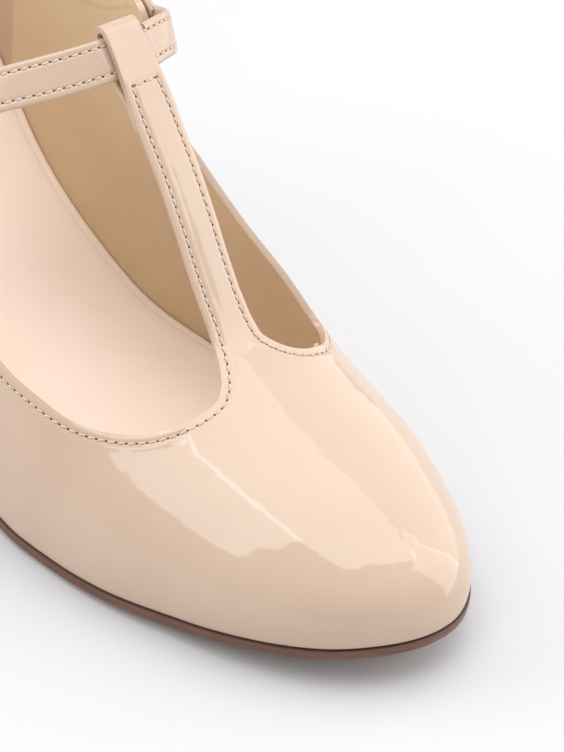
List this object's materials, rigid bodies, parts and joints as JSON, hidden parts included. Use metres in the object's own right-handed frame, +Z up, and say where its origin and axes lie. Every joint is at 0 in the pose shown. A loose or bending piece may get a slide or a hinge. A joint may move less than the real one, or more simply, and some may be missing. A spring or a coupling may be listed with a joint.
{
  "type": "t strap shoe",
  "caption": "Right court shoe with a rounded toe, a T-bar looped over a buckled instep strap, and a covered heel.",
  "frame": {"origin": "on the floor, under the middle of the shoe's bounding box", "axes": "+Z up, toe towards -Y, heel towards +Y, +X towards the inner side of the foot"},
  "size_m": [0.0792, 0.2417, 0.1375],
  "materials": {
    "patent": "glossy patent, nude beige",
    "sock": "smooth matt sock, pale pink beige",
    "sole": "brown sole, satin edge",
    "rubber": "dark rubber",
    "metal": "pale gold plating"
  },
  "bodies": {
    "root": {"upper": "patent", "instep_strap": "patent", "outer_tab": "patent", "strap_keeper": "patent", "heel": "patent", "insole": "sock", "outsole": "sole", "top_piece": "rubber", "buckle_frame": "metal", "buckle_prong": "metal"}
  },
  "joints": []
}
